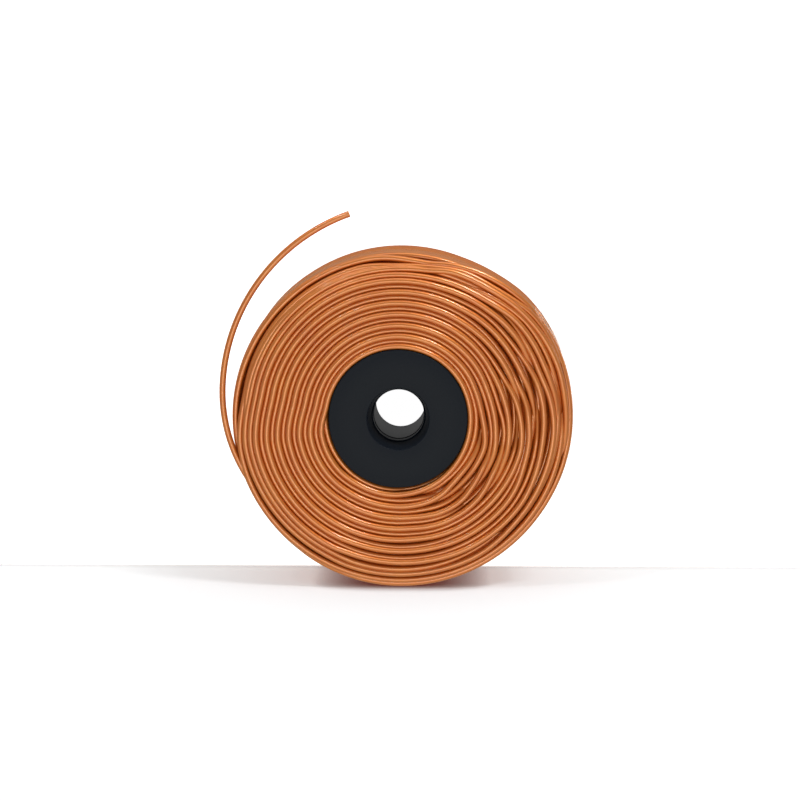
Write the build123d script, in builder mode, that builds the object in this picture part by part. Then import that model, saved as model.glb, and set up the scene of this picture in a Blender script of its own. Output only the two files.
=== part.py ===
from build123d import *
from math import atan2, cos, degrees, radians, sin
import os

# Air core inductor: enamelled copper wire wound in tight layers on a short moulded bush.
# Millimetres. Z is the axis of the coil, and the origin lies on it, half way between the faces.

# Wire and layers
wire_dia = 0.66             # over the enamel
layer_count = 17
turns_per_layer = 20        # in the layers that reach the faces
shoulder_layers = 3         # the outer layers, which lose one turn each
top_setback = 4             # how far the last layer ends below the front face, in half turns
bottom_setback = 3          # and above the back face
face_groove = 0.40          # how far the turns sunk between two proud ones lie back
shoulder_groove = 0.22      # depth between two turns on the outer layers' shoulders
flank_ridges = 6            # ridges round the outside, which stand for the turns there
flank_groove = 0.25         # depth between them
back_stride = 2             # the back face, which the coil stands on, has a ring for every second layer

# Crossovers, where the turns step sideways from one row to the next
left_crossover = 182.0      # degrees from +X
right_crossover = 12.0
right_bulge = 1.25          # how far the outer layers stand off over the right crossover
right_bulge_angle = 10.0
lower_bulge = 0.95          # and below it, where the turns begin to climb
lower_bulge_angle = -80.0

# Moulded bush
bush_dia = 14.3
bush_bore = 5.3             # clearance for an M5 screw
bush_gap = 0.03             # glue between the bush and the first layer
rim_chamfer = 0.25
rim_chamfer_width = 0.60
mouth_dia = 6.4             # the tapered lead-in at the front
throat_dia = 5.7
mouth_depth = 3.4
lip_chamfer = 0.2

# Finish lead, the last of the wire, which springs away from the outer layer
lead_flats = 8              # the round wire is drawn with this many flats
lead_angle = 212.6          # where it leaves the coil, in degrees from +X
lead_straight = 3.0
lead_bend_radius = 16.5
lead_root_turn = 12.0       # degrees of the bend that belong to the winding
lead_bend_turn = 35.0
lead_sweep_radius = 19.9
lead_sweep_turn = 68.0

# Clear tape over the outer layer
tape_width = 9.0
tape_thickness = 0.08
tape_gap = 0.02
tape_start = -30.0          # degrees from +X about the middle of the right bulge
tape_span = 64.0
tape_tail = 1.3             # the loose end
tape_height = 0.3           # middle of the tape above mid-length

# Sizes that follow from those above
layer_pitch = wire_dia * sin(radians(60))
half_length = (turns_per_layer + 0.5) * wire_dia / 2
winding_bore = bush_dia + 2 * bush_gap
flat_layers = layer_count - shoulder_layers


def layer_radius(layer):
    """Radius of the wire's centre in a layer, counted from 1 at the bush."""
    return winding_bore / 2 + wire_dia / 2 + (layer - 1) * layer_pitch


flat_radius = layer_radius(flat_layers) + wire_dia / 2
outer_radius = layer_radius(layer_count) + wire_dia / 2
bulge_floor = half_length - face_groove - wire_dia / 4
bulge_inner = layer_radius(flat_layers) - right_bulge - wire_dia
lead_height = half_length - (top_setback + 1) * wire_dia / 2
last_height = half_length - (bottom_setback + 1) * wire_dia / 2


def offset(distance, angle):
    """Point at a distance and an angle from the axis."""
    return Vector(distance * cos(radians(angle)), distance * sin(radians(angle)))


def facing(start, end):
    """Angle that the right-hand side of a straight line from start to end faces."""
    return degrees(atan2(end.Y - start.Y, end.X - start.X)) - 90


def radial_plane(angle, centre=Vector(0, 0)):
    """Upright plane through an axis at the centre: X points outwards at the angle, Y upwards."""
    outwards = (cos(radians(angle)), sin(radians(angle)), 0)
    return Plane(origin=centre, x_dir=outwards, z_dir=(outwards[1], -outwards[0], 0))


def flat_rings(first_proud, stride):
    """Crests and grooves of the layers that reach a face, from the bush outwards."""
    points = [(winding_bore / 2, half_length - face_groove)]
    for layer in range(1, flat_layers + 1, stride):
        sunken = (layer // stride - first_proud) % 2
        points.append((layer_radius(layer), half_length - sunken * face_groove))
    return points


def shoulder(setback):
    """Crests and grooves of the outer layers, each half a turn shorter than the one inside it."""
    points = []
    for layer in range(flat_layers + 1, layer_count + 1):
        crest = half_length - (setback + layer - layer_count) * wire_dia / 2
        points.append((layer_radius(layer) - layer_pitch / 2, crest - shoulder_groove))
        points.append((layer_radius(layer), crest))
    return points


def flank():
    """Crests and grooves down the outside."""
    step = (lead_height + last_height) / flank_ridges
    points = [(outer_radius, lead_height)]
    for ridge in range(flank_ridges):
        crest = lead_height - ridge * step
        points.append((outer_radius - flank_groove, crest - step / 2))
        points.append((outer_radius, crest - step))
    return points


def underside(points):
    """The same outline on the lower face, in the order that closes a section."""
    return [(radius, -height) for radius, height in reversed(points)]


def inner_section(first_proud):
    """Section of the layers that reach both faces. A layer proud at one face is sunken at the other."""
    top, bottom = flat_rings(first_proud, 1), flat_rings(first_proud + 1, back_stride)
    rim = half_length - face_groove
    return top + [(flat_radius, rim), (flat_radius, -rim)] + underside(bottom)


def outer_section():
    """Section of the outer layers, with a plain floor inwards to the layers that reach the faces."""
    top = [(bulge_inner, bulge_floor)] + shoulder(top_setback)
    back_shoulder = shoulder(bottom_setback)
    bottom = [(bulge_inner, bulge_floor)] + back_shoulder[:2] + back_shoulder[-1:]
    return top + flank() + underside(bottom)


lower_centre = offset(lower_bulge, lower_bulge_angle)
right_centre = offset(right_bulge, right_bulge_angle)

# Bush: a thick tube with broken rims and a tapered mouth at the front
with BuildPart() as core_bush:
    with BuildSketch(Plane.XZ):
        Polygon(
            (bush_bore / 2, -half_length),
            (bush_dia / 2 - rim_chamfer_width, -half_length),
            (bush_dia / 2, rim_chamfer - half_length),
            (bush_dia / 2, half_length - rim_chamfer),
            (bush_dia / 2 - rim_chamfer_width, half_length),
            (mouth_dia / 2, half_length),
            (throat_dia / 2, half_length - mouth_depth),
            (bush_bore / 2, half_length - mouth_depth - (throat_dia - bush_bore) / 2),
            align=None,
        )
    revolve(axis=Axis.Z)
    lip = core_bush.faces().sort_by(Axis.Z)[-1].inner_wires()[0]
    chamfer(lip.edges(), length=lip_chamfer)
core_bush.part.label = "core_bush"

# Winding: rings that change places at the two crossovers, outer layers that stand off in two
# places on the right, and the root of the lead
with BuildPart() as winding:
    spans = [(right_crossover, left_crossover, 1), (left_crossover, right_crossover + 360, 2)]
    for start, end, first_proud in spans:
        with BuildSketch(radial_plane(start)):
            Polygon(*inner_section(first_proud), align=None)
        revolve(axis=Axis.Z, revolution_arc=end - start)
    centres = [Vector(0, 0), lower_centre, right_centre]
    for before, centre, after in zip(centres[-1:] + centres, centres, centres[1:] + centres):
        start, end = facing(before, centre), facing(centre, after)
        with BuildSketch(radial_plane(start, centre)):
            Polygon(*outer_section(), align=None)
        revolve(axis=Axis(centre, (0, 0, 1)), revolution_arc=(end - start) % 360)
        with BuildSketch(radial_plane(end, centre)):
            Polygon(*outer_section(), align=None)
        extrude(dir=after - centre, amount=(after - centre).length)
    with BuildLine() as root_path:
        leave = radial_plane(lead_angle, Vector(0, 0, lead_height))
        run = Line(
            leave.from_local_coords((layer_radius(layer_count), 0)),
            leave.from_local_coords((layer_radius(layer_count), 0, lead_straight)),
        )
        bend = JernArc(run @ 1, run % 1, radius=lead_bend_radius, arc_size=-lead_root_turn)
    with BuildSketch(Plane(run @ 0, x_dir=(0, 0, 1), z_dir=run % 0)):
        RegularPolygon(radius=wire_dia / 2, side_count=lead_flats)
    sweep(path=root_path.line)
winding.part.label = "winding"

# Finish lead: the rest of the same wire, from the end of its root to the cut tip
with BuildPart() as finish_lead:
    with BuildLine() as lead_path:
        first = JernArc(bend @ 1, bend % 1, radius=lead_bend_radius,
                        arc_size=lead_root_turn - lead_bend_turn)
        JernArc(first @ 1, first % 1, radius=lead_sweep_radius, arc_size=-lead_sweep_turn)
    with BuildSketch(Plane(first @ 0, x_dir=(0, 0, 1), z_dir=first % 0)):
        RegularPolygon(radius=wire_dia / 2, side_count=lead_flats)
    sweep(path=lead_path.line)
finish_lead.part.label = "finish_lead"

# Clear tape: a strip over the bulge with a short loose end
with BuildPart() as clear_tape:
    with BuildSketch(Plane.XY.offset(tape_height - tape_width / 2)):
        with BuildLine():
            tape_radius = outer_radius + tape_gap + tape_thickness / 2
            hug = CenterArc(right_centre, tape_radius, tape_start, tape_span)
            Line(hug @ 1, hug @ 1 + tape_tail * (hug % 1))
        trace(line_width=tape_thickness)
    extrude(amount=tape_width)
clear_tape.part.label = "clear_tape"

os.makedirs("parts", exist_ok=True)
for piece in (core_bush, winding, finish_lead, clear_tape):
    export_step(piece.part, f"parts/{piece.part.label}.step")
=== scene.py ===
import math
import random

import bmesh
import bpy
from mathutils import Matrix, Vector


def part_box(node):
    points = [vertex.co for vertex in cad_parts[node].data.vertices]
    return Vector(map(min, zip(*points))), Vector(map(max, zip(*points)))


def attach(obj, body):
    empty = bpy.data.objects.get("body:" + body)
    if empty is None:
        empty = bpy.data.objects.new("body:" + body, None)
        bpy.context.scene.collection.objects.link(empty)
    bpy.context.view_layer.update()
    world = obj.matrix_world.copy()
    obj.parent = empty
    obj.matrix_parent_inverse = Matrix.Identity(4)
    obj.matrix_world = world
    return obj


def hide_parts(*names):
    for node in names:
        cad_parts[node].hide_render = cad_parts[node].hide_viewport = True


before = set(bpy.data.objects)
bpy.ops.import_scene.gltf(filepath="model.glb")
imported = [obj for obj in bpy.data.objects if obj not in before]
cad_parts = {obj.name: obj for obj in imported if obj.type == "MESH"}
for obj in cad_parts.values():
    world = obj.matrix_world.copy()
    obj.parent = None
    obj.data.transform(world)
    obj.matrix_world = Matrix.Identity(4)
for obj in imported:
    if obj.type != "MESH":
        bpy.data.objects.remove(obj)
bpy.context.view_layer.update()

bl_info = {
    "name": "Air core inductor",
    "version": (1, 0, 0),
    "blender": (4, 5, 0),
    "location": "View3D > Sidebar > Inductor",
    "description": "Enamelled copper coil on a moulded bush, with its finish lead and clear tape",
    "category": "Add Mesh",
}

MM = 0.001
HALF_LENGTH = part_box("winding")[1].z / MM
WIRE = 0.66                 # millimetres over the enamel
RADIUS = WIRE / 2
INNER_LAYER = 7.51          # radius of the wire's centre in the layer next to the bush
PITCH = WIRE * math.sin(math.radians(60))
LAYERS = 17

# Bush: radii of its outside and of the steps in its bore, in millimetres
BUSH_RADIUS = 7.15
MOUTH_RADIUS, THROAT_RADIUS = 3.22, 2.8
NECK_RADIUS, WAIST_RADIUS, BORE_RADIUS = 2.68, 2.61, 2.65

# Tape: columns of its mesh, in degrees from +X, and where its near edge is creased
TAPE_START, TAPE_STEP, TAPE_COLUMNS, TAPE_ROWS = -33, 1.25, 54, 18
TAIL_COLUMNS, TAIL_STEP = 6, 0.2
CREASE_FROM, CREASE_TO, CREASE_ROWS = 17, 32, 3

# Stage, in metres, watts and degrees
LAMP_DISTANCE = 0.45
WARM, WHITE = (1.0, 0.95, 0.8), (1.0, 1.0, 1.0)
LAMPS = (
    # name, width, height, power, azimuth, lean from +Z, colour
    ("front_softbox", 0.90, 0.66, 0.96, 270, 34, WARM),
    ("camera_lamp", 0.13, 0.13, 0.15, 261, 7.7, WARM),
    ("right_glow", 0.10, 0.06, 0.4, 64, 72, WHITE),
    ("top_softbox", 0.4, 0.2, 0.35, 90, 84, WHITE),
    ("left_strip", 0.015, 0.03, 0.09, 123, 70, WHITE),
    ("left_strip_inner", 0.015, 0.03, 0.09, 115, 70, WHITE),
    ("right_strip", 0.015, 0.03, 0.09, 64, 70, WHITE),
    ("right_strip_inner", 0.015, 0.03, 0.09, 73, 70, WHITE),
)
FILL_STRENGTH = 0.33        # light from all round
PAPER_GLOW = 0.93           # how much of the paper's white is its own
OPENING_BRIGHTNESS = 0.34   # glow of the white disc beyond the bore, to all rays but the eye's: painted light, which the bore's plastic mirrors
CARD_WHITE = (0.74, 0.755, 0.77, 1.0)  # a little cool, so that the warm lamps leave it neutral
CARD_GLOW = 0.5
CONTACT_REACH = 0.0025      # how far the painted contact shadow reaches


def linear(text):
    """Linear RGBA of an sRGB hex colour."""
    channels = [int(text[i:i + 2], 16) / 255 for i in (0, 2, 4)]
    return [c / 12.92 if c <= 0.04045 else ((c + 0.055) / 1.055) ** 2.4 for c in channels] + [1.0]


def colour(name, description, text):
    """A colour property with an sRGB hex default."""
    return bpy.props.FloatVectorProperty(name=name, description=description, subtype="COLOR",
                                         size=4, min=0.0, max=1.0, default=linear(text))


class WireSettings(bpy.types.PropertyGroup):
    copper: colour("Enamelled copper", "Colour of the copper as it is seen through clear enamel", "E68C30")
    # shade is mixed in at random along the wire; with deep, a darker copy of the copper, it also paints the
    # shade on the buried turns
    shade: colour("Enamel shade", "Deeper colour where the enamel is thicker", "D8701E")
    deep: colour("Copper in shade", "Colour of the turns deep between the others", "B8581A")


class BushSettings(bpy.types.PropertyGroup):
    plastic: colour("Bush plastic", "Colour of the moulded bush", "121923")


class TapeSettings(bpy.types.PropertyGroup):
    film: colour("Clear film", "Tint of the clear tape", "F4F1EA")


class StageSettings(bpy.types.PropertyGroup):
    floor: colour("Floor", "Colour of the white floor", "FFFFFF")
    shadow: colour("Shadow", "Warm tone of the shadow where the coil touches the card", "6E2A16")
    # painted reflection: the tone of the floor that only the wire's gloss sees
    mirrored: colour("Mirrored floor", "Duller tone of the floor in the gloss of the wire", "E6D0B2")


# Materials

def node(tree, kind, settings=None, inputs=None, links=None):
    """Adds a node, sets its properties and sockets, and links other nodes' outputs to it."""
    added = tree.nodes.new(kind)
    for name, value in (settings or {}).items():
        setattr(added, name, value)
    for name, value in (inputs or {}).items():
        added.inputs[name].default_value = value
    for name, output in (links or {}).items():
        tree.links.new(output, added.inputs[name])
    return added


def new_material(name):
    """An empty node material with its output node."""
    material = bpy.data.materials.new(name)
    material.use_nodes = True
    material.node_tree.nodes.clear()
    return material, material.node_tree, material.node_tree.nodes.new("ShaderNodeOutputMaterial")


def enamelled_copper(settings):
    """Round magnet wire: drawn copper under a clear amber enamel, which gives long glossy lines."""
    material, tree, output = new_material("enamelled_copper")
    place = node(tree, "ShaderNodeTexCoord")
    drift = node(tree, "ShaderNodeTexNoise", inputs={"Scale": 420.0, "Detail": 3.0},
                 links={"Vector": place.outputs["Object"]})
    tone = node(tree, "ShaderNodeMix", {"data_type": "RGBA"},
                {"A": settings.copper, "B": settings.shade}, {"Factor": drift.outputs["Fac"]})
    shader = node(tree, "ShaderNodeBsdfPrincipled",
                  inputs={"Metallic": 0.65, "Roughness": 0.4, "Coat Weight": 1.0, "Coat Roughness": 0.12,
                          "Coat IOR": 1.7},
                  links={"Base Color": tone.outputs["Result"]})
    tree.links.new(shader.outputs["BSDF"], output.inputs["Surface"])
    return material


def shaded_copper(settings):
    """The same wire deep between the turns, as a copy in painted shade: darker colours and no coat, so it
    shows no gloss, only a deep orange.
    """
    material, tree, output = new_material("enamelled_copper_in_shade")
    place = node(tree, "ShaderNodeTexCoord")
    drift = node(tree, "ShaderNodeTexNoise", inputs={"Scale": 900.0, "Detail": 3.0},
                 links={"Vector": place.outputs["Object"]})
    # painted shade: the deeper enamel tone and the colour of copper in shade stand in for the shade deep
    # between the turns
    tone = node(tree, "ShaderNodeMix", {"data_type": "RGBA"},
                {"A": settings.shade, "B": settings.deep}, {"Factor": drift.outputs["Fac"]})
    shader = node(tree, "ShaderNodeBsdfPrincipled", inputs={"Metallic": 0.4, "Roughness": 0.8},
                  links={"Base Color": tone.outputs["Result"]})
    tree.links.new(shader.outputs["BSDF"], output.inputs["Surface"])
    return material


def moulded_plastic(settings):
    """Black filled nylon, injection moulded: satin, with a fine grain."""
    material, tree, output = new_material("moulded_black_nylon")
    place = node(tree, "ShaderNodeTexCoord")
    grain = node(tree, "ShaderNodeTexNoise", inputs={"Scale": 3300.0, "Detail": 4.0},
                 links={"Vector": place.outputs["Object"]})
    relief = node(tree, "ShaderNodeBump", inputs={"Strength": 0.25, "Distance": 0.00004},
                  links={"Height": grain.outputs["Fac"]})
    shader = node(tree, "ShaderNodeBsdfPrincipled",
                  inputs={"Base Color": settings.plastic, "Roughness": 0.42, "Specular IOR Level": 0.15},
                  links={"Normal": relief.outputs["Normal"]})
    tree.links.new(shader.outputs["BSDF"], output.inputs["Surface"])
    return material


def clear_film(settings):
    """Clear polypropylene tape: thin glossy film."""
    material, tree, output = new_material("clear_polypropylene_film")
    shader = node(tree, "ShaderNodeBsdfPrincipled",
                  inputs={"Base Color": settings.film, "Roughness": 0.15, "Transmission Weight": 1.0,
                          "IOR": 1.08, "Alpha": 0.22})
    tree.links.new(shader.outputs["BSDF"], output.inputs["Surface"])
    return material


def white_sweep(settings):
    """Matt white paper, which is white to the eye and through the film; the wire's gloss sees a duller,
    warmer tone instead, a painted reflection.
    """
    material, tree, output = new_material("matt_white_paper")
    path = node(tree, "ShaderNodeLightPath")
    paper = node(tree, "ShaderNodeBsdfDiffuse", inputs={"Color": settings.floor})
    light = node(tree, "ShaderNodeEmission", inputs={"Color": settings.floor, "Strength": PAPER_GLOW})
    both = node(tree, "ShaderNodeAddShader")
    tree.links.new(paper.outputs["BSDF"], both.inputs[0])
    tree.links.new(light.outputs["Emission"], both.inputs[1])
    # painted reflection: glossy rays see the duller mirrored tone instead of the white
    tone = node(tree, "ShaderNodeMix", {"data_type": "RGBA"}, {"A": settings.floor, "B": settings.mirrored},
                {"Factor": path.outputs["Is Glossy Ray"]})
    thrown = node(tree, "ShaderNodeBsdfDiffuse", links={"Color": tone.outputs["Result"]})
    seen_by_eye = node(tree, "ShaderNodeMath", {"operation": "MAXIMUM"})
    tree.links.new(path.outputs["Is Camera Ray"], seen_by_eye.inputs[0])
    tree.links.new(path.outputs["Is Transmission Ray"], seen_by_eye.inputs[1])
    pick = node(tree, "ShaderNodeMixShader", links={"Fac": seen_by_eye.outputs["Value"]})
    tree.links.new(thrown.outputs["BSDF"], pick.inputs[1])
    tree.links.new(both.outputs["Shader"], pick.inputs[2])
    tree.links.new(pick.outputs["Shader"], output.inputs["Surface"])
    return material


def glowing_bore_disc(settings):
    """White disc at the far end of the bore: white to the eye, and to other rays a glow that stands in for
    light from beyond the bore, as painted light on the bore's wall.
    """
    material, tree, output = new_material("glowing_white_disc")
    path = node(tree, "ShaderNodeLightPath")
    strength = node(tree, "ShaderNodeMath", {"operation": "MULTIPLY_ADD"})
    tree.links.new(path.outputs["Is Camera Ray"], strength.inputs[0])
    strength.inputs[1].default_value = 1 - OPENING_BRIGHTNESS
    strength.inputs[2].default_value = OPENING_BRIGHTNESS
    light = node(tree, "ShaderNodeEmission", inputs={"Color": settings.floor},
                 links={"Strength": strength.outputs["Value"]})
    tree.links.new(light.outputs["Emission"], output.inputs["Surface"])
    return material


def shadow_card(settings):
    """White card on the coil's lower side, which takes its shadow and fades out at its far edge; where the
    coil touches it, a painted warm contact shadow darkens it further.

    Light passes it, and so does the eye from behind.
    """
    material, tree, output = new_material("matt_white_card")
    path = node(tree, "ShaderNodeLightPath")
    side = node(tree, "ShaderNodeNewGeometry")
    front = node(tree, "ShaderNodeMath", {"operation": "SUBTRACT", "use_clamp": True})
    tree.links.new(path.outputs["Is Camera Ray"], front.inputs[0])
    tree.links.new(side.outputs["Backfacing"], front.inputs[1])
    place = node(tree, "ShaderNodeTexCoord")
    parts = node(tree, "ShaderNodeSeparateXYZ", links={"Vector": place.outputs["Object"]})
    fade = node(tree, "ShaderNodeMapRange", {"interpolation_type": "SMOOTHSTEP"},
                {"From Min": 1.06 * -HALF_LENGTH * MM, "From Max": 0.78 * -HALF_LENGTH * MM},
                {"Value": parts.outputs["Z"]})
    soft = node(tree, "ShaderNodeMath", {"operation": "MULTIPLY"})
    tree.links.new(front.outputs["Value"], soft.inputs[0])
    tree.links.new(fade.outputs["Result"], soft.inputs[1])
    # painted contact shadow: ambient occlusion mixes the warm shadow tone into the card's white and its
    # glow
    painted_contact_shade = node(tree, "ShaderNodeAmbientOcclusion", {"samples": 8}, {"Distance": CONTACT_REACH})
    painted_shadow_tone = node(tree, "ShaderNodeMix", {"data_type": "RGBA"},
                {"A": settings.shadow, "B": (1.0, 1.0, 1.0, 1.0)}, {"Factor": painted_contact_shade.outputs["AO"]})
    tone = node(tree, "ShaderNodeMix", {"data_type": "RGBA", "blend_type": "MULTIPLY"},
                {"Factor": 1.0, "A": CARD_WHITE}, {"B": painted_shadow_tone.outputs["Result"]})
    paper = node(tree, "ShaderNodeBsdfDiffuse", links={"Color": tone.outputs["Result"]})
    light = node(tree, "ShaderNodeEmission", inputs={"Strength": CARD_GLOW},
                 links={"Color": tone.outputs["Result"]})
    both = node(tree, "ShaderNodeAddShader")
    tree.links.new(paper.outputs["BSDF"], both.inputs[0])
    tree.links.new(light.outputs["Emission"], both.inputs[1])
    clear = node(tree, "ShaderNodeBsdfTransparent")
    pick = node(tree, "ShaderNodeMixShader", links={"Fac": soft.outputs["Value"]})
    tree.links.new(clear.outputs["BSDF"], pick.inputs[1])
    tree.links.new(both.outputs["Shader"], pick.inputs[2])
    tree.links.new(pick.outputs["Shader"], output.inputs["Surface"])
    return material


# Wire runs. A station is an angle in degrees from +X, a radius and a height, both in millimetres.

def layer(number):
    """Radius of the wire's centre in a layer, counted from 1 at the bush."""
    return INNER_LAYER + (number - 1) * PITCH


def polar(angle, radius, height):
    """Point of the coil at an angle, radius and height, in metres."""
    turn = math.radians(angle)
    return Vector((radius * math.cos(turn), radius * math.sin(turn), height)) * MM


def smooth_through(stations, step):
    """Smooth values through stations, every few degrees, that never swing past a station."""
    slopes = []
    for before, here, after in zip(stations[:1] + stations, stations, stations[1:] + stations[-1:]):
        row = []
        for axis in range(1, len(here)):
            rise = (here[axis] - before[axis]) / ((here[0] - before[0]) or 1)
            fall = (after[axis] - here[axis]) / ((after[0] - here[0]) or 1)
            row.append(2 * rise * fall / (rise + fall) if rise * fall > 0 else 0.0)
        slopes.append(row)
    values = []
    for i in range(len(stations) - 1):
        low, high = stations[i], stations[i + 1]
        wide = high[0] - low[0]
        count = max(1, round(wide / step))
        for k in range(count):
            t = k / count
            row = [low[0] + t * wide]
            for axis in range(1, len(low)):
                start, end = slopes[i][axis - 1] * wide, slopes[i + 1][axis - 1] * wide
                row.append((2 * t ** 3 - 3 * t ** 2 + 1) * low[axis] + (t ** 3 - 2 * t ** 2 + t) * start
                           + (3 * t ** 2 - 2 * t ** 3) * high[axis] + (t ** 3 - t ** 2) * end)
            values.append(row)
    values.append(list(stations[-1]))
    return values


# Outside of the coil: how far the centre of an outer turn lies from the axis, by angle. The layers
# spread below the right crossover and stand off over it.
GIRTH = [(0, 17.78), (20, 17.8), (40, 17.55), (55, 17.05), (70, 16.78), (100, 16.7), (120, 16.72),
         (140, 16.85), (170, 16.95), (200, 17.05), (220, 17.18), (240, 17.38), (270, 17.57), (300, 17.66),
         (330, 17.68), (350, 17.76), (360, 17.78)]


def girth(angle):
    """Radius of an outer turn's centre at an angle."""
    angle %= 360
    values = [value for value in GIRTH_TABLE if value[0] <= angle]
    low = values[-1]
    high = GIRTH_TABLE[min(len(values), len(GIRTH_TABLE) - 1)]
    part = (angle - low[0]) / ((high[0] - low[0]) or 1)
    return low[1] + part * (high[1] - low[1])


GIRTH_TABLE = smooth_through(GIRTH, 4.0)

# The photograph: where its camera stands, and where it shows the coil's axis at the front face
TARGET = Vector((0.206, 1.99, 6.765))
TOWARDS = Vector((math.tan(math.radians(1.2)), math.tan(math.radians(7.6)), 1)).normalized()
SIDE = Vector((0, 1, 0)).cross(TOWARDS).normalized()
UP = TOWARDS.cross(SIDE)
DISTANCE = 270.0
PIXEL = 0.103               # millimetres that a pixel covers at the front face
AXIS_PIXEL = (398.0, 419.3)
IMAGE_CENTRE = 400.0

TOP = HALF_LENGTH - RADIUS  # height of the wire's centre in a turn that stands proud at the face
SUNKEN = WIRE / 2
DIVE_ANGLE, DIVE_DEPTH = 14, 1.2  # how far on, and how deep, the ends of a run go out of sight
UNDER_DEPTHS = (0.78, 0.98)  # of the turns under the front ones, by turns
GLOSS_SHIFT = 0.05          # how far the line of gloss lies beside the middle of a proud wire


def seen(angle, pixels, height):
    """Angle and radius of what the photograph shows at an angle and pixels from the axis, at a height."""
    turn = math.radians(angle)
    across = AXIS_PIXEL[0] - IMAGE_CENTRE + pixels * math.cos(turn)
    up = IMAGE_CENTRE - AXIS_PIXEL[1] + pixels * math.sin(turn)
    ray = (SIDE * across + UP * up) * PIXEL - TOWARDS * DISTANCE
    eye = TARGET + TOWARDS * DISTANCE
    place = eye + ray * ((height - eye.z) / ray.z)
    true = math.degrees(math.atan2(place.y, place.x))
    return angle + (true - angle + 180) % 360 - 180, math.hypot(place.x, place.y)


def traced(*readings):
    """Stations from readings of the photograph: angle, pixels from the axis to the line of gloss, depth."""
    stations = []
    for angle, pixels, depth in readings:
        true, radius = seen(angle, pixels, TOP - depth + 0.9 * RADIUS)
        shift = GLOSS_SHIFT * max(-1.0, min(1.0, (angle + 5) / 25)) * max(0.0, 1 - depth / SUNKEN)
        stations.append((true, max(radius + shift, INNER_LAYER - 0.02), TOP - depth))
    return stations


def upper(start, end, number, depth):
    """Two stations at the ends of a plain stretch of one layer on the upper side."""
    radius = layer(number) - 0.1 * min(1.0, (number - 1) / 2)
    return [(start, radius, TOP - depth), (end, radius, TOP - depth)]


def lower(number, depth, turns=0, end=262):
    """Stations of a layer on the lower side, where the layers spread a little."""
    stations = [(193, layer(number) + 0.02), (218, layer(number) + 0.08),
                (242, layer(number) - 0.06 + 0.0155 * (number - 2)),
                (262, layer(number) - 0.08 + 0.0165 * (number - 2))]
    return [(angle + 360 * turns, radius, TOP - depth) for angle, radius in stations if angle <= end]


def turned(stations, turns):
    """The same stations, a number of whole turns further on."""
    return [(angle + 360 * turns, radius, height) for angle, radius, height in stations]


def buried(run):
    """A run whose two ends go on down out of sight, under the other turns."""
    first, last = run[0], run[-1]
    start = (first[0] - DIVE_ANGLE, first[1] - 0.25, first[2] - DIVE_DEPTH)
    return [start] + run + [(last[0] + DIVE_ANGLE, last[1], last[2] - DIVE_DEPTH)]


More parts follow.
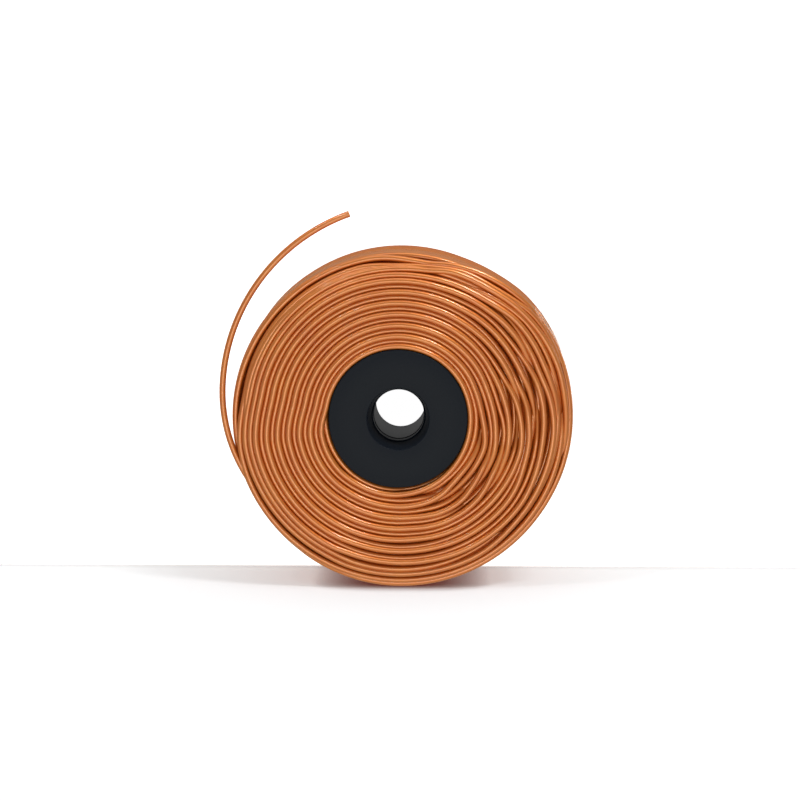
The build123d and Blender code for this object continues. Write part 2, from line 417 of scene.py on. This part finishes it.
def front_runs():
    """Wires seen on the front face, each as one run that is wound outwards and crosses at the right."""
    runs = []
    # next to the bush
    runs.append(upper(30, 169, 1, 0) + lower(2, 0) + turned(traced(
        (-85, 76.1, 0), (-60, 75.1, 0), (-40, 74, 0), (-20, 73.2, 0), (0, 72.1, 0), (20, 71.4, 0)), 1)
        + [(390, layer(1), TOP)])
    runs.append([(172, layer(1), TOP - 0.8), (184, layer(1), TOP - 0.35), (200, layer(1), TOP - 0.3),
                 (240, layer(1), TOP - SUNKEN), (262, layer(1), TOP - 0.5), (280, layer(1), TOP - 0.95)])
    runs.append(traced((-76, 76.3, 0.95), (-66, 77.6, 0.6), (-60, 78.2, 0.45), (-50, 77.9, 0.36),
                       (-30, 78.5, 0.33), (0, 78.3, 0.33), (20, 77.7, 0.33))
                + upper(45, 169, 2, SUNKEN) + lower(3, SUNKEN) + turned(traced(
                    (-85, 81.8, 0.33), (-75, 82.6, 0.36), (-67, 84.3, 0.5), (-60, 85.5, 0.8),
                    (-50, 86.5, 1.15)), 1))
    runs.append(traced((-74, 89.3, 1.05), (-66, 90.2, 0.85), (-60, 90.5, 0.7), (-50, 90.2, 0.45),
                       (-40, 90.3, 0.2), (-30, 91, 0.05), (-20, 91.1, 0), (-15, 90.3, 0),
                       (-10, 88.4, 0), (-5, 86.5, 0), (0, 84.7, 0), (5, 83.4, 0), (10, 82.6, 0),
                       (20, 81.9, 0))
                + upper(35, 169, 3, 0) + lower(4, 0) + turned(traced(
                    (-85, 88.4, 0), (-70, 88.7, 0), (-60, 87.6, 0), (-50, 84.9, 0), (-40, 83.9, 0),
                    (-30, 84.3, 0.08), (-20, 84.6, 0.35), (-10, 84.2, 0.75), (0, 83, 1.1)), 1))
    runs.append(traced((-54, 101, 1.05), (-42, 102.2, 0.75), (-35, 102.5, 0.5), (-28, 102.4, 0.28),
                       (-20, 102, 0.05), (-15, 100.9, 0), (-10, 99.3, 0), (0, 96.7, 0), (10, 94.4, 0),
                       (20, 93.2, 0))
                + upper(35, 169, 5, 0) + lower(6, 0) + turned(traced(
                    (-85, 99.6, 0), (-75, 101.2, 0), (-65, 103.3, 0), (-57, 103.8, 0), (-50, 103.1, 0),
                    (-45, 101.7, 0), (-40, 100.4, 0), (-30, 98.3, 0.05), (-20, 97.2, 0.3),
                    (-10, 95.1, 0.42), (0, 92.1, 0.42), (10, 89.8, 0.36), (20, 88.9, 0.33)), 1)
                + upper(395, 529, 4, SUNKEN) + lower(5, SUNKEN, 1) + turned(traced(
                    (-85, 93.2, 0.33), (-75, 94, 0.33), (-65, 95.9, 0.36), (-58, 96.7, 0.45),
                    (-50, 96.6, 0.65), (-40, 96.2, 1.0), (-32, 96, 1.2)), 2))
    runs.append(traced((-48, 113.5, 1.05), (-36, 114.4, 0.7), (-30, 114.4, 0.5), (-22, 114.1, 0.25),
                       (-15, 113.7, 0.05), (-10, 112.7, 0), (0, 110.3, 0), (10, 107.6, 0),
                       (20, 105.4, 0), (30, 104.5, 0))
                + upper(45, 169, 7, 0) + lower(8, 0) + turned(traced(
                    (-85, 110.5, 0), (-75, 112.1, 0), (-65, 113.6, 0), (-55, 114, 0), (-45, 113.5, 0),
                    (-40, 112.4, 0), (-30, 110, 0.05), (-20, 108.8, 0.25), (-10, 107.9, 0.42),
                    (0, 104.7, 0.42), (5, 102.3, 0.4), (10, 100.9, 0.36), (20, 99.8, 0.33)), 1)
                + upper(395, 529, 6, SUNKEN) + lower(7, SUNKEN, 1) + turned(traced(
                    (-85, 103.9, 0.33), (-75, 105.5, 0.33), (-65, 107.3, 0.38), (-58, 107.9, 0.55),
                    (-48, 108, 0.95), (-40, 108, 1.2)), 2))
    runs.append(traced((0, 122, 1.1), (8, 122, 0.7), (15, 121.2, 0.3), (20, 120.1, 0.1),
                       (30, 118.4, 0), (40, 117.1, 0))
                + upper(60, 169, 9, 0) + lower(10, 0) + turned(traced(
                    (-85, 121.5, 0), (-70, 123.7, 0), (-60, 124.8, 0), (-40, 125.6, 0), (-15, 126.7, 0),
                    (-10, 125.7, 0), (0, 122.3, 0.02), (10, 118.5, 0.1), (15, 116.1, 0.2),
                    (20, 113.7, 0.3), (25, 112.3, 0.33), (30, 111.4, 0.33)), 1)
                + upper(405, 529, 8, SUNKEN) + lower(9, SUNKEN, 1) + turned(traced(
                    (-85, 115.3, 0.33), (-70, 117.5, 0.33), (-50, 118.9, 0.33), (-30, 120, 0.36),
                    (-15, 120.5, 0.5), (-6, 120, 0.85), (4, 119, 1.15)), 2))
    runs.append(traced((-8, 136, 1.1), (2, 136, 0.75), (7, 135.5, 0.45), (12, 134.5, 0.2),
                       (20, 131.5, 0.02), (30, 130, 0), (40, 129.2, 0), (50, 128.2, 0))
                + upper(65, 169, 11, 0) + lower(12, 0, 0, 242) + turned(traced(
                    (-110, 132.2, 0), (-80, 133.5, 0), (-60, 136, 0), (-38, 137.6, 0), (-30, 137, 0),
                    (-20, 134.5, 0), (-10, 133, 0), (0, 130.5, 0.02), (5, 129.5, 0.1), (10, 127.5, 0.22),
                    (20, 123.6, 0.33), (25, 122.9, 0.33)), 1)
                + upper(400, 529, 10, SUNKEN) + lower(11, SUNKEN, 1, 242) + turned(traced(
                    (-110, 126.8, 0.33), (-60, 130, 0.33), (-40, 131.2, 0.38), (-20, 130.5, 0.45),
                    (-5, 128.5, 0.6), (4, 127.5, 0.9), (12, 127, 1.15)), 2))
    runs.append(traced((12, 146, 1.1), (20, 144.5, 0.75), (26, 143.6, 0.35), (32, 143.6, 0.12),
                       (40, 142.8, 0), (50, 140.8, 0), (60, 139.4, 0))
                + upper(75, 169, 13, 0) + lower(14, 0, 0, 242) + turned(traced(
                    (-110, 143.2, 0), (-80, 144.8, 0), (-60, 147.5, 0), (-35, 149.8, 0), (-20, 148, 0),
                    (-10, 146.5, 0), (5, 145.5, 0), (10, 144.4, 0.02), (15, 143.3, 0.08), (20, 141.3, 0.2),
                    (25, 139.2, 0.3), (30, 137.5, 0.33), (35, 136.5, 0.33), (50, 135.4, 0.33)), 1)
                + upper(430, 529, 12, SUNKEN) + lower(13, SUNKEN, 1, 242) + turned(traced(
                    (-110, 137.8, 0.33), (-60, 141.5, 0.33), (-40, 143.1, 0.38), (-20, 141.5, 0.42),
                    (-10, 140.5, 0.5), (0, 139.5, 0.8), (10, 139, 1.15)), 2))
    # the outer layers, on the shoulder
    runs.append(traced((-8, 168, 1.4), (2, 168.1, 1.0), (10, 168.1, 0.75), (15, 168.3, 0.66),
                       (25, 167.3, 0.6), (35, 165.2, 0.5), (45, 162.3, 0.4), (50, 160.4, 0.4),
                       (55, 158.8, 0.42), (60, 157.9, 0.45), (65, 157.3, 0.5), (70, 156.3, 0.55),
                       (75, 153.3, 0.6), (80, 151.0, 0.64))
                + upper(95, 169, 15, 0.66) + lower(16, 0.66, 0, 242) + turned(traced(
                    (-110, 154.4, 0.62), (-80, 155.5, 0.5), (-60, 157.5, 0.4), (-40, 156.3, 0.3),
                    (-5, 156.3, 0.2), (5, 154, 0.15), (10, 152.1, 0.15), (15, 149.8, 0.15),
                    (20, 148.5, 0.15), (30, 148.5, 0.25), (38, 149.1, 0.45), (46, 149, 0.75),
                    (54, 148.5, 1.1)), 1))
    runs.append(traced((-6, 159, 1.1), (2, 158.8, 0.75), (8, 158.3, 0.5), (15, 156.5, 0.25),
                       (20, 155.2, 0.15), (30, 154.6, 0.1), (40, 153.1, 0.05), (45, 151, 0.05),
                       (50, 148.8, 0.1), (55, 147.3, 0.2), (60, 146.5, 0.28), (70, 145.4, 0.33))
                + upper(85, 169, 14, SUNKEN) + lower(15, 0.4, 0, 242) + turned(traced(
                    (-105, 149.6, 0.45), (-75, 150.8, 0.6), (-55, 151.5, 0.9), (-42, 151.5, 1.2)), 1))
    runs.append(traced((4, 162, 1.2), (15, 161.9, 0.8), (25, 161.5, 0.6), (35, 160.4, 0.5), (40, 159, 0.45),
                       (45, 156.7, 0.45), (50, 154.4, 0.45), (55, 152.1, 0.5), (60, 149.9, 0.6),
                       (66, 148.5, 0.8), (76, 148, 1.2)))
    runs.append(traced((24, 171, 1.5), (32, 170.6, 1.2), (38, 169.6, 0.95), (45, 165.8, 0.85),
                       (50, 163.3, 0.82), (55, 161.7, 0.82), (65, 160.4, 0.86), (80, 154.2, 0.93),
                       (90, 152.9, 0.99))
                + upper(105, 169, 16, 0.99)
                + [(193, 16.72, TOP - 1.0), (218, 16.93, TOP - 1.0), (242, 17.0, TOP - 1.0)]
                + turned(traced((-95, 160.6, 1.0), (-60, 162.8, 1.0), (-30, 164.2, 1.0), (-10, 164.4, 1.1),
                                (4, 164, 1.5)), 1))
    runs.append(traced((40, 172.1, 1.5), (50, 170.2, 1.3), (60, 167.1, 1.25), (70, 162.9, 1.28),
                       (80, 158.3, 1.32))
                + [(100, 16.66, TOP - 1.32), (150, 16.75, TOP - 1.32), (175, 16.9, TOP - 1.5),
                   (195, 16.95, TOP - 1.8), (205, 16.9, TOP - 2.1)])
    return runs[:1] + [buried(run) for run in runs[1:]]


def back_runs():
    """Wires of the back face, where the other layers stand proud, and its shoulder."""
    runs = []
    for proud in range(2, 14, 2):
        dive, rise = layer(proud), layer(proud - 1)
        runs.append([(-62, dive + 0.7, TOP - 1.1), (-44, dive + 0.68, TOP - 0.6), (-20, dive + 0.6, TOP),
                     (0, dive + 0.3, TOP)] + upper(22, 169, proud, 0) + lower(proud + 1, 0)
                    + [(300, layer(proud + 1) + 0.12, TOP), (335, dive + 0.3, TOP),
                       (352, dive - 0.2, TOP - 0.25)]
                    + upper(382, 529, proud - 1, SUNKEN) + lower(proud, SUNKEN, 1)
                    + [(655, dive + 0.15, TOP - 0.45), (680, dive + 0.15, TOP - 1.15)])
    for number, depth in ((14, 0), (13, SUNKEN), (15, 0.33), (16, 0.66)):
        share = (number - 1) / (LAYERS - 1)
        ring = []
        for angle, reach in GIRTH[:-1]:
            ring.append((angle, INNER_LAYER + (reach - INNER_LAYER) * share, TOP - depth))
        runs.append(ring + [(360,) + ring[0][1:]])
    return [[(angle, radius, -height) for angle, radius, height in run] for run in runs]


def under_runs():
    """The turns just under those of the front face, which are seen between them at the right."""
    runs = []
    for number in range(1, LAYERS - 1):
        share = (number - 1) / (LAYERS - 1)
        height = TOP - UNDER_DEPTHS[(number + 1) % 2]
        runs.append([(angle, INNER_LAYER + (reach - INNER_LAYER) * share, height)
                     for angle, reach in GIRTH])
    return runs


LEAD_ANGLE = 212.6          # where the finish lead leaves the coil
LEAD_LEAVES = 4.93          # its height there
LEAD_HEIGHT = 5.115
LEAD_RISE_STEPS = 8         # the lead reaches its height in this many steps
LEAD_STEPS = ((8, 3.0, None), (18, 35.0, 16.5), (34, 68.0, 19.9))  # steps, length or degrees, radius
LAST_TURN = 4.85
LOWEST_TURN = 0.99 + RADIUS - HALF_LENGTH
OUTER_TURNS = 16
STEP_START, STEP_END = 345.0, 400.0  # the turns step down between these angles, over the right crossover


def outer_run():
    """The last layer down the outside, from the turn below the lead's, one step lower at each crossing."""
    step = (LAST_TURN - LOWEST_TURN) / OUTER_TURNS
    heights = [(STEP_START, LAST_TURN)]
    for turn in range(1, OUTER_TURNS + 1):
        height = LAST_TURN - turn * step
        heights += [(STEP_END + 360 * (turn - 1), height), (STEP_START + 360 * turn, height)]
    heights.append((STEP_END + 360 * OUTER_TURNS, LOWEST_TURN))
    return [(angle, girth(angle), height) for angle, height in smooth_through(heights, 2.0)]


def lead_run():
    """The last turn, back from the crossing, and the lead that springs free of it, as points in metres."""
    turn = [(LEAD_ANGLE, 16.655, LEAD_LEAVES), (226, 17.0, 4.86), (240, 17.3, LAST_TURN)]
    turn += [(angle, girth(angle), LAST_TURN) for angle in (270, 300, 330, STEP_START)]
    points = [polar(*station) for station in reversed(smooth_through(turn, 2.0))]
    heading = math.radians(LEAD_ANGLE - 90)
    place = points[-1].copy()
    made = 0
    for steps, run, radius in LEAD_STEPS:
        bend = 0.0 if radius is None else math.radians(run / steps)
        stride = run / steps if radius is None else 2 * radius * math.sin(bend / 2)
        for _ in range(steps):
            middle = heading - bend / 2
            place = place + Vector((math.cos(middle), math.sin(middle), 0)) * stride * MM
            rise = min(1.0, made / LEAD_RISE_STEPS)
            place.z = (LEAD_LEAVES + (LEAD_HEIGHT - LEAD_LEAVES) * rise) * MM
            heading -= bend
            made += 1
            points.append(place.copy())
    return points


def wire_object(name, runs):
    """A round wire along each run, as one mesh."""
    curve = bpy.data.curves.new(name, "CURVE")
    curve.dimensions = "3D"
    curve.bevel_depth = RADIUS * MM
    curve.bevel_resolution = 3
    curve.use_fill_caps = True
    for run in runs:
        ring = (run[0] - run[-1]).length < 1e-6
        places = run[:-1] if ring else run
        line = curve.splines.new("POLY")
        line.points.add(len(places) - 1)
        for point, place in zip(line.points, places):
            point.co = (*place, 1.0)
        line.use_smooth = True
        line.use_cyclic_u = ring
    wire = bpy.data.objects.new(name, curve)
    bpy.context.scene.collection.objects.link(wire)
    return mesh_of(wire)


def mesh_of(shape):
    """The object with its curve turned into a mesh."""
    bpy.ops.object.select_all(action="DESELECT")
    shape.select_set(True)
    bpy.context.view_layer.objects.active = shape
    bpy.ops.object.convert(target="MESH")
    bpy.ops.object.shade_smooth()
    return bpy.context.view_layer.objects.active


def finish_piece(piece, material, slot, *nodes):
    """Gives a piece its material and its place in the frame."""
    piece.data.materials.clear()
    piece.data.materials.append(material)
    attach(piece, "root")
    if nodes:
        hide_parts(*nodes)


class COIL_OT_wind(bpy.types.Operator):
    """Wind the turns that are seen on the two faces and round the outside"""
    bl_idname = "coil.wind"
    bl_label = "Wind coil"

    def execute(self, context):
        copper = enamelled_copper(context.scene.coil_wire)
        runs = [[polar(*s) for s in smooth_through(run, 2.0)] for run in front_runs()]
        front = wire_object("front_turns", runs)
        finish_piece(front, copper, "copper_wire", "winding")
        runs = [[polar(*s) for s in smooth_through(run, 3.0)] for run in under_runs()]
        under = wire_object("under_turns", runs)
        finish_piece(under, copper, "copper_wire", "winding")
        runs = [[polar(*s) for s in smooth_through(run, 2.0)] for run in back_runs()]
        back = wire_object("back_turns", runs)
        finish_piece(back, copper, "copper_wire", "winding")
        outer = wire_object("outer_turns", [[polar(*s) for s in outer_run()]])
        finish_piece(outer, copper, "copper_wire", "winding")
        body = self.inner_body()
        finish_piece(body, shaded_copper(context.scene.coil_wire), "copper_wire", "winding")
        return {"FINISHED"}

    def inner_body(self):
        """The buried turns, as a plain body just under the ones that are seen."""
        face, edge = TOP - 1.1, LAYERS - 0.55
        outline = [(0.6, -face), (0.6, face), (13.3, face), (edge, face - 1.5), (edge, 1.5 - face),
                   (13.3, -face)]
        mesh = bmesh.new()
        rings = []
        for angle in range(0, 360, 3):
            spread = (girth(angle) - INNER_LAYER) / (LAYERS - 1)
            rings.append([mesh.verts.new(polar(angle, INNER_LAYER + (number - 1) * spread, height))
                          for number, height in outline])
        for here, there in zip(rings, rings[1:] + rings[:1]):
            for i, j in zip(range(len(outline)), list(range(1, len(outline))) + [0]):
                mesh.faces.new((here[i], there[i], there[j], here[j]))
        bmesh.ops.recalc_face_normals(mesh, faces=mesh.faces)
        data = bpy.data.meshes.new("buried_turns")
        mesh.to_mesh(data)
        mesh.free()
        body = bpy.data.objects.new("buried_turns", data)
        bpy.context.scene.collection.objects.link(body)
        return body


class COIL_OT_lead(bpy.types.Operator):
    """Bend the finish lead that springs free of the last turn"""
    bl_idname = "coil.lead"
    bl_label = "Finish lead"

    def execute(self, context):
        copper = bpy.data.materials["enamelled_copper"]
        lead = wire_object("lead_wire", [lead_run()])
        finish_piece(lead, copper, "copper_wire", "finish_lead")
        return {"FINISHED"}


class COIL_OT_bush(bpy.types.Operator):
    """Mould the bush"""
    bl_idname = "coil.bush"
    bl_label = "Bush"

    def execute(self, context):
        plastic = moulded_plastic(context.scene.coil_bush)
        half = HALF_LENGTH
        section = [(BUSH_RADIUS, -half), (BUSH_RADIUS, half), (MOUTH_RADIUS, half),
                   (THROAT_RADIUS, half - 3.0), (NECK_RADIUS, half - 3.08), (NECK_RADIUS, half - 4.3),
                   (WAIST_RADIUS, half - 4.42), (BORE_RADIUS, -half)]
        bpy.ops.object.select_all(action="DESELECT")
        bpy.ops.mesh.primitive_circle_add(vertices=144, radius=BUSH_RADIUS * MM,
                                          location=(0, 0, -half * MM))
        bush = context.active_object
        bush.name = "moulded_bush"
        bpy.ops.object.mode_set(mode="EDIT")
        bpy.ops.mesh.select_all(action="SELECT")
        for (reach, height), (next_reach, next_height) in zip(section, section[1:] + section[:1]):
            bpy.ops.mesh.extrude_region_move(
                TRANSFORM_OT_translate={"value": (0, 0, (next_height - height) * MM)})
            grow = next_reach / reach
            bpy.ops.transform.resize(value=(grow, grow, 1), center_override=(0, 0, next_height * MM))
        bpy.ops.mesh.select_all(action="SELECT")
        bpy.ops.mesh.remove_doubles(threshold=1e-6)
        bpy.ops.mesh.normals_make_consistent(inside=False)
        bpy.ops.object.mode_set(mode="OBJECT")
        bpy.ops.object.transform_apply(location=True, rotation=True, scale=True)
        bevel = bush.modifiers.new("soft_rims", "BEVEL")
        bevel.width = 0.22 * MM
        bevel.segments = 4
        bevel.limit_method = "ANGLE"
        bevel.angle_limit = math.radians(40)
        bpy.ops.object.modifier_apply(modifier=bevel.name)
        bpy.ops.object.shade_smooth_by_angle(angle=math.radians(28))
        finish_piece(bush, plastic, "bush_plastic", "core_bush")
        return {"FINISHED"}


class COIL_OT_tape(bpy.types.Operator):
    """Lay the clear tape"""
    bl_idname = "coil.tape"
    bl_label = "Clear tape"

    def execute(self, context):
        film = clear_film(context.scene.coil_tape)
        chance = random.Random(7)
        low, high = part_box("clear_tape")
        columns = []
        for k in range(TAPE_COLUMNS):
            angle = TAPE_START + TAPE_STEP * k
            columns.append((angle, girth(angle) + RADIUS + 0.05))
        angle, reach = columns[-1]
        for k in range(1, TAIL_COLUMNS + 1):
            away = TAIL_STEP * k
            columns.append((angle + math.degrees(away / reach), reach + 0.016 * k * k))
        rows = TAPE_ROWS
        mesh = bmesh.new()
        grid = []
        for angle, reach in columns:
            column = []
            crease = chance.uniform(0.05, 0.34)
            for j in range(rows + 1):
                height = low.z / MM + (high.z - low.z) / MM * j / rows
                lift = 0.0
                if CREASE_FROM < angle < CREASE_TO and j >= rows - CREASE_ROWS:
                    lift = crease * (j - rows + CREASE_ROWS) / CREASE_ROWS
                column.append(mesh.verts.new(polar(angle, reach + lift, height)))
            grid.append(column)
        for here, there in zip(grid, grid[1:]):
            for j in range(rows):
                mesh.faces.new((here[j], there[j], there[j + 1], here[j + 1]))
        bmesh.ops.recalc_face_normals(mesh, faces=mesh.faces)
        data = bpy.data.meshes.new("tape_strip")
        mesh.to_mesh(data)
        mesh.free()
        strip = bpy.data.objects.new("tape_strip", data)
        context.scene.collection.objects.link(strip)
        bpy.ops.object.select_all(action="DESELECT")
        strip.select_set(True)
        context.view_layer.objects.active = strip
        thick = strip.modifiers.new("film", "SOLIDIFY")
        thick.thickness = 0.05 * MM
        thick.offset = 0.0
        bpy.ops.object.modifier_apply(modifier=thick.name)
        bpy.ops.object.shade_smooth_by_angle(angle=math.radians(35))
        finish_piece(strip, film, "clear_film", "clear_tape")
        return {"FINISHED"}


class COIL_OT_stage(bpy.types.Operator):
    """Set the floor, the lamps and the camera"""
    bl_idname = "coil.stage"
    bl_label = "Stage"

    def execute(self, context):
        scene = context.scene
        bpy.ops.object.select_all(action="DESELECT")
        bpy.ops.mesh.primitive_plane_add(size=1.2, location=(0, 0, -HALF_LENGTH * MM))
        floor = context.active_object
        floor.name = "white_floor"
        floor.data.materials.append(white_sweep(scene.coil_stage))
        # a glowing disc in the bore's far end: white to the eye, and painted light for the bore's wall
        bpy.ops.mesh.primitive_circle_add(vertices=48, radius=2.6 * MM, fill_type="NGON",
                                          location=(0, 0, (0.01 - HALF_LENGTH) * MM))
        opening = context.active_object
        opening.name = "glowing_opening"
        bpy.ops.object.transform_apply(location=True, rotation=True, scale=True)
        opening.data.materials.append(glowing_bore_disc(scene.coil_stage))
        low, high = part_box("winding")
        bpy.ops.mesh.primitive_plane_add(size=1.0, rotation=(-math.pi / 2, 0, 0),
                                         location=(0, low.y - 0.00001, -HALF_LENGTH * MM + 0.1))
        card = context.active_object
        card.name = "white_card"
        card.scale = (0.8, 0.2, 1)
        bpy.ops.object.transform_apply(location=True, rotation=True, scale=True)
        card.data.materials.append(shadow_card(scene.coil_stage))
        camera = bpy.data.objects.new("photo_camera", bpy.data.cameras.new("photo_camera"))
        scene.collection.objects.link(camera)
        camera.data.lens = 118.0
        camera.data.sensor_width = 36.0
        camera.data.clip_start = 0.01
        camera.location = (TARGET + TOWARDS * DISTANCE) * MM
        camera.rotation_euler = Matrix((SIDE, UP, TOWARDS)).transposed().to_euler()
        scene.camera = camera
        for name, wide, high, power, azimuth, lean, tint in LAMPS:
            lamp = bpy.data.objects.new(name, bpy.data.lights.new(name, "AREA"))
            scene.collection.objects.link(lamp)
            lamp.data.shape = "RECTANGLE"
            lamp.data.size, lamp.data.size_y = wide, high
            lamp.data.energy = power
            lamp.data.color = tint
            lean, azimuth = math.radians(lean), math.radians(azimuth)
            lamp.location = LAMP_DISTANCE * Vector((math.sin(lean) * math.cos(azimuth),
                                                    math.sin(lean) * math.sin(azimuth), math.cos(lean)))
            lamp.rotation_euler = (-lamp.location).to_track_quat("-Z", "Y").to_euler()
        world = bpy.data.worlds.new("studio")
        scene.world = world
        world.use_nodes = True
        background = world.node_tree.nodes["Background"]
        background.inputs["Color"].default_value = (1, 1, 1, 1)
        background.inputs["Strength"].default_value = FILL_STRENGTH
        scene.view_settings.view_transform = "Standard"
        return {"FINISHED"}


class COIL_PT_panel(bpy.types.Panel):
    """Sidebar panel that lists the pieces"""
    bl_idname = "COIL_PT_panel"
    bl_label = "Air core inductor"
    bl_space_type = "VIEW_3D"
    bl_region_type = "UI"
    bl_category = "Inductor"

    def draw(self, context):
        for operator in OPERATORS:
            self.layout.operator(operator.bl_idname)


SETTINGS = ((WireSettings, "coil_wire"), (BushSettings, "coil_bush"), (TapeSettings, "coil_tape"),
            (StageSettings, "coil_stage"))
OPERATORS = (COIL_OT_wind, COIL_OT_lead, COIL_OT_bush, COIL_OT_tape, COIL_OT_stage)


def register():
    for group, name in SETTINGS:
        bpy.utils.register_class(group)
        setattr(bpy.types.Scene, name, bpy.props.PointerProperty(type=group))
    for cls in OPERATORS + (COIL_PT_panel,):
        bpy.utils.register_class(cls)


def unregister():
    for cls in reversed(OPERATORS + (COIL_PT_panel,)):
        bpy.utils.unregister_class(cls)
    for group, name in reversed(SETTINGS):
        delattr(bpy.types.Scene, name)
        bpy.utils.unregister_class(group)


def main():
    register()
    bpy.ops.coil.wind()
    bpy.ops.coil.lead()
    bpy.ops.coil.bush()
    bpy.ops.coil.tape()
    bpy.ops.coil.stage()


if __name__ == "__main__":
    main()
